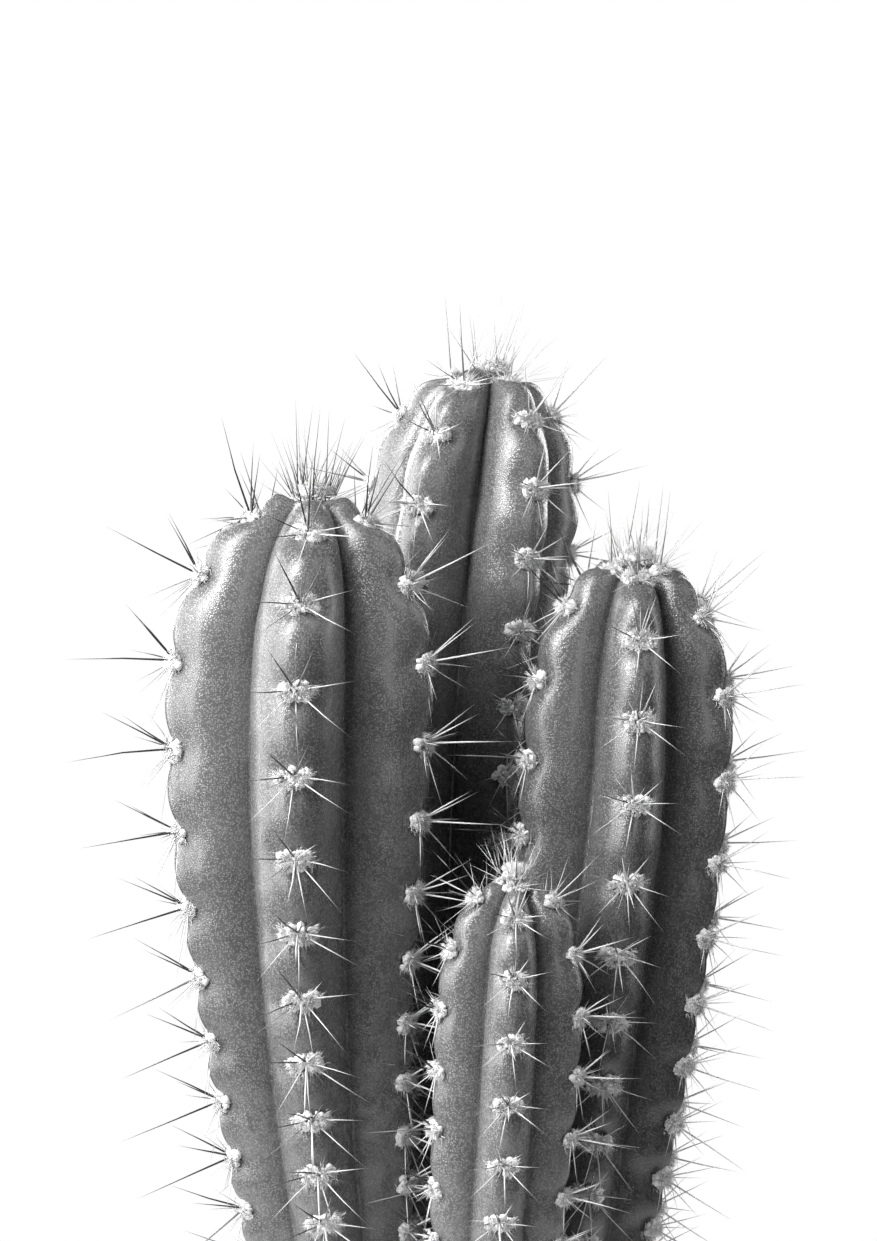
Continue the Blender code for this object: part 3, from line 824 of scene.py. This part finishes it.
def make_skin(shape, material):
    """A sphere's rings and meridians laid over the stem, then wrinkled."""
    stem = shape.stem
    angles, shares, phases = column_tables(stem)
    rings = round(shape.length / SKIN_ROW) + 2
    deselect_all()
    bpy.ops.mesh.primitive_uv_sphere_add(segments=len(angles), ring_count=rings, radius=1.0)
    skin = bpy.context.object
    start = np.empty(3 * len(skin.data.vertices))
    skin.data.vertices.foreach_get("co", start)
    start = start.reshape(-1, 3)
    ring = np.rint((0.5 - np.arcsin(np.clip(start[:, 2], -1, 1)) / math.pi) * rings).astype(int)
    turn = np.arctan2(start[:, 1], start[:, 0]) / (2 * math.pi) * len(angles)
    column = np.rint(turn).astype(int) % len(angles)
    down = np.clip(ring / (rings - 1), 0.0, 1.0) ** SKIN_ROW_POWER
    distance = shape.length * down
    place = shape.surface(distance, angles[column], shares[column], phases[column])
    place[ring == rings] = shape.at(np.array(shape.length), shape.centre)
    skin.data.vertices.foreach_set("co", place.ravel())
    age = np.clip(distance / shape.length, 0.0, 1.0) ** AGE_POWER
    cork = np.exp(-((shape.length - distance) / CORK_FOOT) ** 2)
    # Painted shade: the skin's lightness falls from the tip's to the lower one, and differs from stem to stem.
    tone = np.interp(distance, PAINTED_SHADE_FADE, stem.tone)
    for name, values in (("age", age), ("cork", cork), ("tone", tone)):
        layer = skin.data.attributes.new(name, "FLOAT", "POINT")
        layer.data.foreach_set("value", values.astype(np.float32))
    old = skin.vertex_groups.new(name="old")
    for number in range(rings + 1):
        here = np.flatnonzero(ring == number)
        wrinkled = YOUNG_WRINKLES + (1 - YOUNG_WRINKLES) * float(age[here].mean())
        old.add(here.tolist(), wrinkled, "REPLACE")
    for label, size, strength, group in SKIN_RELIEF:
        add_relief(skin, label, size, strength, group)
    apply_modifiers(skin)
    bpy.ops.object.shade_smooth()
    finish_piece(skin, stem.name + "_skin", material)
    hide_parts(stem.name)


# Wool and spines.


def grown_size(shape, distance):
    """Size of a tuft of wool beside a full-grown one on a thick stem."""
    age = min(1.0, WOOL_YOUNG + distance / (2 * shape.widest))
    return age * (shape.widest / GIRTH) ** WOOL_GIRTH_POWER


def crown_reach(shape):
    """Half width of the wool and spines over the growing point."""
    return CROWN_TUFT * (shape.widest / GIRTH) ** 0.5


def lump_shape():
    """Corners and faces of one lump of wool: the coarsest round primitive."""
    deselect_all()
    bpy.ops.mesh.primitive_ico_sphere_add(subdivisions=1, radius=1.0)
    ball = bpy.context.object
    corners = np.array([vert.co[:] for vert in ball.data.vertices])
    faces = np.array([face.vertices[:] for face in ball.data.polygons])
    bpy.data.objects.remove(ball)
    return corners, faces


def scatter_lumps(rng, place, outward, up, wide, high, proud, size, count):
    """Middles and radii of the lumps of one tuft, on two lobes beside the spines' roots."""
    across = np.cross(up, outward)
    u = np.where(rng.uniform(0, 1, count) < 0.5, -1.0, 1.0) * rng.uniform(*LUMP_ACROSS, count)
    v = rng.uniform(*LUMP_ALONG, count) * np.sqrt(1 - u**2)
    dome = np.sqrt(np.clip(1 - u**2 - v**2, 0.0, 1.0))
    middle = place + (LUMP_SPREAD * wide * u)[:, None] * across + (LUMP_SPREAD * high * v)[:, None] * up
    core = rng.uniform(0, 1, count) < LUMP_CORES
    depth = np.where(core, *LUMP_DEPTHS) * proud * dome * rng.uniform(0.8, 1.15, count)
    middle += depth[:, None] * outward
    radius = np.where(core, rng.uniform(*CORE_RADIUS, count), rng.uniform(*SMALL_RADIUS, count))
    return middle, radius * size


def wool_places(shape, look):
    """(place, outward, up, half width, half height, how proud, size, share of hairs) of each tuft of
    wool. The last tuft lies over the growing point."""
    for _, _, place, outward, up, distance in shape.areoles():
        size = grown_size(shape, distance)
        sizes = (look.half_width * size, look.half_height * size, look.proud * size)
        yield place, outward, up, *sizes, size, size
    place, upward, side = shape.tip_frame()
    reach = crown_reach(shape)
    yield place, upward, side, reach, reach, *CROWN_WOOL


def make_lumps(shape, look, material, ball):
    """The lumpy body of each tuft."""
    rng = np.random.default_rng(shape.stem.seed)
    places = wool_places(shape, look)
    found = [scatter_lumps(rng, *where, round(look.lumps * share)) for *where, share in places]
    middle, radius = (np.concatenate(column) for column in zip(*found))
    corners, faces = ball
    wobble = rng.uniform(0.75, 1.25, (len(middle), len(corners), 1))
    verts = middle[:, None] + radius[:, None, None] * wobble * corners[None]
    tris = faces[None] + len(corners) * np.arange(len(middle))[:, None, None]
    obj = mesh_from_arrays("lumps", verts.reshape(-1, 3), tris.reshape(-1, 3), np.empty((0, 4), int))
    finish_piece(obj, shape.stem.name + "_wool_lumps", material)


def wool_tufts(look, rng, place, outward, up, wide, high, proud, size, hairs):
    """Roots, bends, tips and radii of one areole's hairs, gathered in small tufts on two lobes."""
    across = np.cross(up, outward)
    tufts = max(8, hairs // HAIRS_TOGETHER)
    side = np.where(rng.uniform(0, 1, tufts) < 0.5, -1.0, 1.0)
    u = side * rng.uniform(*HAIR_ACROSS, tufts)
    v = rng.uniform(*HAIR_ALONG, tufts) * np.sqrt(1 - u**2)
    own = rng.integers(0, tufts, hairs)
    u = u[own] + HAIR_SCATTER * rng.standard_normal(hairs)
    v = v[own] + HAIR_SCATTER * rng.standard_normal(hairs)
    lean = HAIR_LEAN * rng.standard_normal((tufts, 3))[own]
    dome = np.sqrt(np.clip(1 - u**2 - v**2, 0.0, 1.0))
    root = place + (HAIR_SPREAD * wide * u)[:, None] * across + (HAIR_SPREAD * high * v)[:, None] * up
    root += (HAIR_DEPTH * proud * dome)[:, None] * outward
    beard = rng.uniform(0, 1, hairs) < BEARD
    direction = (0.85 * u)[:, None] * across + (0.85 * v - BEARD_DROP * beard)[:, None] * up
    stray = HAIR_STRAY * rng.standard_normal((hairs, 3))
    direction += (0.30 + 0.62 * dome)[:, None] * outward + lean + stray
    direction = unit(direction)
    length = look.hair_length * size * rng.uniform(0.4, 1.0, hairs) * np.where(beard, BEARD_LENGTH, 1.0)
    bend = root + direction * (HAIR_KNEE * length)[:, None]
    turned = unit(direction + 0.5 * rng.standard_normal((hairs, 3)))
    tip = bend + turned * ((1 - HAIR_KNEE) * length)[:, None]
    return root, bend, tip, look.hair_radius * rng.uniform(0.7, 1.3, hairs)


def make_wool(shape, look, material):
    """Ragged hairs all over each pad, and over the growing point between the ribs."""
    rng = np.random.default_rng(shape.stem.seed + 1)
    places = wool_places(shape, look)
    found = [wool_tufts(look, rng, *where, round(look.hairs * share)) for *where, share in places]
    root, bend, tip, radius = (np.concatenate(column) for column in zip(*found))
    straight = rng.uniform(0, 1, len(root)) < STRAIGHT_HAIRS
    for label, chosen, lines in (("under", straight, (root, tip)), ("wisps", ~straight, (root, bend, tip))):
        obj = tapered_hairs("wool", [line[chosen] for line in lines], radius[chosen], HAIR_SIDES)
        finish_piece(obj, f"{shape.stem.name}_wool_{label}", material)


def spine_direction(outward, up, clock, lift):
    """The way of a spine at a clock angle from up towards the right and a lift off the skin, in degrees."""
    across = np.cross(up, outward)
    clock, lift = math.radians(clock), math.radians(lift)
    along = math.cos(clock) * up + math.sin(clock) * across
    return unit(math.cos(lift) * along + math.sin(lift) * outward)


def spine_plan(shape, rib, step, distance):
    """(clock, lift, length, thickness) of each spine of an areole; the first is the solid's long one."""
    stem = shape.stem
    rng = random.Random(stem.seed * 10000 + rib * 100 + step)
    tilt = float(np.interp(distance / shape.length, (0.0, 1.0), CENTRAL_TILT))
    wanted = [(0.0, 90.0 - tilt, 1.0, 1.0)]
    if distance < TIP_TUFT:
        for number in range(TIP_SPINES):
            wanted.append((360.0 * number / TIP_SPINES, rng.uniform(45, 78), rng.uniform(0.45, 0.85), 0.7))
    else:
        wanted += SPINE_FAN
    plan = []
    for clock, lift, share, thick in wanted:
        clock += rng.uniform(-CLOCK_JITTER, CLOCK_JITTER)
        lift += rng.uniform(-LIFT_JITTER, LIFT_JITTER)
        length = share * stem.spine * (1 + rng.uniform(-LENGTH_JITTER, 0.0))
        plan.append((clock, lift, length, thick * (TIP_THICKNESS if distance < TIP_TUFT else 1.0)))
    bristles, longest = BRISTLES, BRISTLE_LENGTH
    if distance < TIP_TUFT:
        bristles, longest = TIP_BRISTLES, TIP_BRISTLE_LENGTH
    for _ in range(bristles):
        clock, lift = rng.uniform(0, 360), rng.uniform(8, 45)
        plan.append((clock, lift, rng.uniform(0.2, longest) * stem.spine, BRISTLE_THICKNESS))
    return plan


def free_share(shape, place, direction, length):
    """How much of a spine clears every other stem and the ground."""
    for share in SHORTER:
        points = place + np.array([0.3, 0.5, 0.75, 1.0])[:, None] * (share * length) * direction
        others = [other.clearance(points).min() for other in SHAPES if other is not shape]
        if min(others) > SPINE_CLEARANCE and points[:, 2].min() > GROUND_CLEARANCE:
            return share
    return 0.0


def tone_and_painted_light_of(stem, direction, thick):
    """Dark for spines that point up or left, pale for those that point right or down, as in the photo."""
    # Partly painted light and shade: a spine pointing up or left is made dark as if in shade, one pointing
    # right or down pale as if lit, besides the upper spines' own dark colour.
    darkness = -0.75 * direction[0] + 0.65 * direction[2] - stem.bleached
    if thick < 0.5:
        return "grey" if stem.bleached < BLEACHED else "pale"
    if darkness > 0.42:
        return "dark"
    return "grey" if darkness > 0.12 else "pale"


def areole_spines(shape, look, rng):
    """(tone, (root, middle, tip, radius)) of each spine on the areoles."""
    for rib, step, place, outward, up, distance in shape.areoles():
        for clock, lift, length, thick in spine_plan(shape, rib, step, distance):
            direction = spine_direction(outward, up, clock, lift)
            share = free_share(shape, place, direction, length)
            bend = rng.standard_normal(3) * look.bend
            if not share:
                continue
            root = place + SPINE_OUT * outward + SPINE_START * direction
            length *= share
            middle = root + direction * SPINE_KNEE * length
            tip = root + unit(direction + bend) * length
            radius = look.radius * thick * (0.75 + 0.25 * shape.stem.spine / FULL_SPINE)
            yield tone_and_painted_light_of(shape.stem, direction, thick), (root, middle, tip, radius)


def crown_spines(shape, look, rng):
    """(tone, (root, middle, tip, radius)) of each spine on the growing point."""
    tones = ("dark", "grey") if shape.stem.bleached < BLEACHED else ("pale", "grey")
    place, upward, side = shape.tip_frame()
    other = np.cross(upward, side)
    for _ in range(CROWN_SPINES):
        turn = rng.uniform(0, 2 * math.pi)
        reach = math.sqrt(rng.uniform(0, 1))
        out = math.cos(turn) * side + math.sin(turn) * other
        root = place + crown_reach(shape) * reach * out
        direction = unit(upward + CROWN_LEAN * reach * out + CROWN_STRAY * rng.standard_normal(3))
        length = shape.stem.spine * rng.uniform(*CROWN_LENGTH) * (1 - 0.2 * reach)
        middle = root + SPINE_KNEE * length * direction
        tip = root + length * unit(direction + rng.standard_normal(3) * look.bend)
        radius = look.radius * rng.uniform(*CROWN_RADIUS)
        yield tones[int(rng.uniform(0, 1) < CROWN_SECOND_TONE)], (root, middle, tip, radius)


def make_spines(shape, look, materials):
    """All of a stem's spines, one piece for each tone."""
    rng = np.random.default_rng(shape.stem.seed + 2)
    sets = {tone: [] for tone in materials}
    for source in (areole_spines, crown_spines):
        for tone, spine in source(shape, look, rng):
            sets[tone].append(spine)
    for tone, spines in sets.items():
        root, middle, tip, radius = (np.array(column) for column in zip(*spines))
        obj = tapered_hairs("spines", [root, middle, tip], radius, SPINE_SIDES)
        finish_piece(obj, f"{shape.stem.name}_spines_{tone}", materials[tone])


# The root crown.


def make_crown(material):
    """The solid crown and a collar round each stem's foot, remeshed as one and roughened."""
    deselect_all()
    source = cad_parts["root_crown"]
    crown = bpy.data.objects.new("crown", source.data.copy())
    bpy.context.scene.collection.objects.link(crown)
    make_active(crown)
    bpy.ops.object.mode_set(mode="EDIT")
    bpy.ops.mesh.select_all(action="SELECT")
    bpy.ops.mesh.remove_doubles(threshold=0.00005)
    bpy.ops.object.mode_set(mode="OBJECT")
    collars = []
    for shape in SHAPES:
        distance = np.array(shape.length - COLLAR_RISE)
        centre = Vector(shape.at(distance, shape.centre))
        tangent = Vector(unit(shape.at(distance, shape.tangent)))
        radius = float(shape.at(distance, shape.radius))
        bpy.ops.mesh.primitive_torus_add(
            major_segments=48, minor_segments=12,
            major_radius=radius * COLLAR_RADIUS, minor_radius=COLLAR_THICKNESS,
            location=centre, rotation=tangent.to_track_quat("Z", "Y").to_euler(),
        )
        collars.append(bpy.context.object)
    make_active(crown)
    for collar in collars:
        collar.select_set(True)
    bpy.ops.object.join()
    remesh = crown.modifiers.new("remesh", "REMESH")
    remesh.mode = "VOXEL"
    remesh.voxel_size = BARK_VOXEL
    soften = crown.modifiers.new("soften", "SMOOTH")
    soften.iterations = 6
    for label, size, strength in BARK_RELIEF:
        add_relief(crown, label, size, strength)
    apply_modifiers(crown)
    for vert in crown.data.vertices:
        vert.co.z = max(0.0, vert.co.z)
    bpy.ops.object.shade_smooth()
    finish_piece(crown, "root_crown_bark", material)
    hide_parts("root_crown")


# Stage: floor, lights, world and camera.


def soft_box(name, azimuth, elevation, distance, width, height, power):
    data = bpy.data.lights.new(name, "AREA")
    data.shape = "RECTANGLE"
    data.size = width
    data.size_y = height
    data.energy = power
    lamp = bpy.data.objects.new(name, data)
    bpy.context.scene.collection.objects.link(lamp)
    turn, rise = math.radians(azimuth), math.radians(elevation)
    away = Vector((math.sin(turn) * math.cos(rise), -math.cos(turn) * math.cos(rise), math.sin(rise)))
    lamp.location = Vector(LIGHT_AIM) + distance * away
    lamp.rotation_euler = away.to_track_quat("Z", "Y").to_euler()


def make_world(fill):
    """White behind the plant, and dimmer white as light from all round."""
    world = bpy.data.worlds.new("white_surroundings")
    world.use_nodes = True
    tree = world.node_tree
    nodes, links = tree.nodes, tree.links
    nodes.clear()
    out = nodes.new("ShaderNodeOutputWorld")
    mix = nodes.new("ShaderNodeMixShader")
    seen = nodes.new("ShaderNodeBackground")
    light = nodes.new("ShaderNodeBackground")
    path = nodes.new("ShaderNodeLightPath")
    seen.inputs["Color"].default_value = (1.0, 1.0, 1.0, 1.0)
    seen.inputs["Strength"].default_value = 1.0
    light.inputs["Color"].default_value = (1.0, 1.0, 1.0, 1.0)
    light.inputs["Strength"].default_value = fill
    links.new(path.outputs["Is Camera Ray"], mix.inputs[0])
    links.new(light.outputs[0], mix.inputs[1])
    links.new(seen.outputs[0], mix.inputs[2])
    links.new(mix.outputs[0], out.inputs["Surface"])
    bpy.context.scene.world = world


def make_floor():
    """A pale round floor that fades into the white."""
    deselect_all()
    bpy.ops.mesh.primitive_circle_add(
        vertices=96, radius=FLOOR_RADIUS, fill_type="NGON", location=(0, 0, -FLOOR_DROP)
    )
    floor = bpy.context.object
    floor.name = "floor"
    made = NodeMaker("pale_floor", (0.86, 0.86, 0.86), 0.9)
    far = made.node("ShaderNodeVectorMath", operation="LENGTH")
    made.link(made.where(), far.inputs[0])
    fade = made.ramp(far.outputs["Value"], 0.0, 1.0, at=FLOOR_FADE)
    clear = made.node("ShaderNodeBsdfTransparent")
    mix = made.node("ShaderNodeMixShader")
    made.link(fade, mix.inputs[0])
    made.link(made.shader.outputs[0], mix.inputs[1])
    made.link(clear.outputs[0], mix.inputs[2])
    made.link(mix.outputs[0], made.tree.nodes["Material Output"].inputs["Surface"])
    floor.data.materials.append(made.material)


def make_camera():
    data = bpy.data.cameras.new("camera")
    data.lens = CAMERA_LENS
    data.sensor_fit = "AUTO"
    data.sensor_width = CAMERA_SENSOR
    data.clip_start = 0.01
    data.clip_end = 50.0
    camera = bpy.data.objects.new("camera", data)
    bpy.context.scene.collection.objects.link(camera)
    pitch = math.radians(CAMERA_PITCH)
    aim = Vector(CAMERA_AIM)
    camera.location = aim + CAMERA_DISTANCE * Vector((0.0, -math.cos(pitch), math.sin(pitch)))
    camera.rotation_euler = (math.pi / 2 - pitch, 0.0, 0.0)
    bpy.context.scene.camera = camera


# Operators, one for each kind of piece.


class CACTUS_OT_stage(bpy.types.Operator):
    """Add the floor, the soft lights, the white surroundings and the camera"""

    bl_idname = "cactus.stage"
    bl_label = "Stage"

    def execute(self, context):
        look = look_of("stage")
        make_camera()
        make_world(look.fill)
        make_floor()
        for name, (azimuth, elevation, distance, width, height, power) in SOFT_BOXES.items():
            soft_box(name, azimuth, elevation, distance, width, height, power * look.light)
        scene = context.scene
        scene.view_settings.view_transform = "Standard"
        scene.view_settings.look = "None"
        return {"FINISHED"}


class CACTUS_OT_root_crown(bpy.types.Operator):
    """Model the corky root crown round the necks that carry the stems"""

    bl_idname = "cactus.root_crown"
    bl_label = "Root crown"

    def execute(self, context):
        make_crown(cork_material(look_of("skin")))
        return {"FINISHED"}


class CACTUS_OT_skins(bpy.types.Operator):
    """Model the ribbed skin of each stem"""

    bl_idname = "cactus.skins"
    bl_label = "Skins"

    def execute(self, context):
        material = skin_material(look_of("skin"))
        for shape in SHAPES:
            make_skin(shape, material)
        return {"FINISHED"}


class CACTUS_OT_wool(bpy.types.Operator):
    """Put a tuft of wool on each areole"""

    bl_idname = "cactus.wool"
    bl_label = "Wool"

    def execute(self, context):
        look = look_of("wool")
        material = wool_material(look)
        ball = lump_shape()
        for shape in SHAPES:
            make_lumps(shape, look, material, ball)
            make_wool(shape, look, material)
        return {"FINISHED"}


class CACTUS_OT_spines(bpy.types.Operator):
    """Put a fan of spines on each areole"""

    bl_idname = "cactus.spines"
    bl_label = "Spines"

    def execute(self, context):
        look = look_of("spines")
        materials = {
            "dark": spine_material("dark_horn", look.dark_colour, 0.35),
            "grey": spine_material("grey_horn", look.grey_colour, 0.35),
            "pale": spine_material("pale_horn", look.pale_colour, 0.4),
        }
        for shape in SHAPES:
            make_spines(shape, look, materials)
        return {"FINISHED"}


class VIEW3D_PT_cactus(bpy.types.Panel):
    bl_label = "Cactus"
    bl_space_type = "VIEW_3D"
    bl_region_type = "UI"
    bl_category = "Cactus"

    def draw(self, context):
        for operator in OPERATORS:
            self.layout.operator(operator.bl_idname)
        for kind in LOOKS:
            look = look_of(kind)
            box = self.layout.box()
            for name in look.__annotations__:
                box.prop(look, name)


LOOKS = {
    "skin": CactusSkinLook,
    "wool": CactusWoolLook,
    "spines": CactusSpineLook,
    "stage": CactusStageLook,
}
OPERATORS = (CACTUS_OT_stage, CACTUS_OT_root_crown, CACTUS_OT_skins, CACTUS_OT_wool, CACTUS_OT_spines)
CLASSES = (*LOOKS.values(), *OPERATORS, VIEW3D_PT_cactus)


def register():
    for cls in CLASSES:
        bpy.utils.register_class(cls)
    for kind, group in LOOKS.items():
        setattr(bpy.types.Scene, "cactus_" + kind, PointerProperty(type=group))


def unregister():
    for kind in LOOKS:
        delattr(bpy.types.Scene, "cactus_" + kind)
    for cls in reversed(CLASSES):
        bpy.utils.unregister_class(cls)


def main():
    register()
    bpy.ops.cactus.stage()
    bpy.ops.cactus.root_crown()
    bpy.ops.cactus.skins()
    bpy.ops.cactus.wool()
    bpy.ops.cactus.spines()


if __name__ == "__main__":
    main()
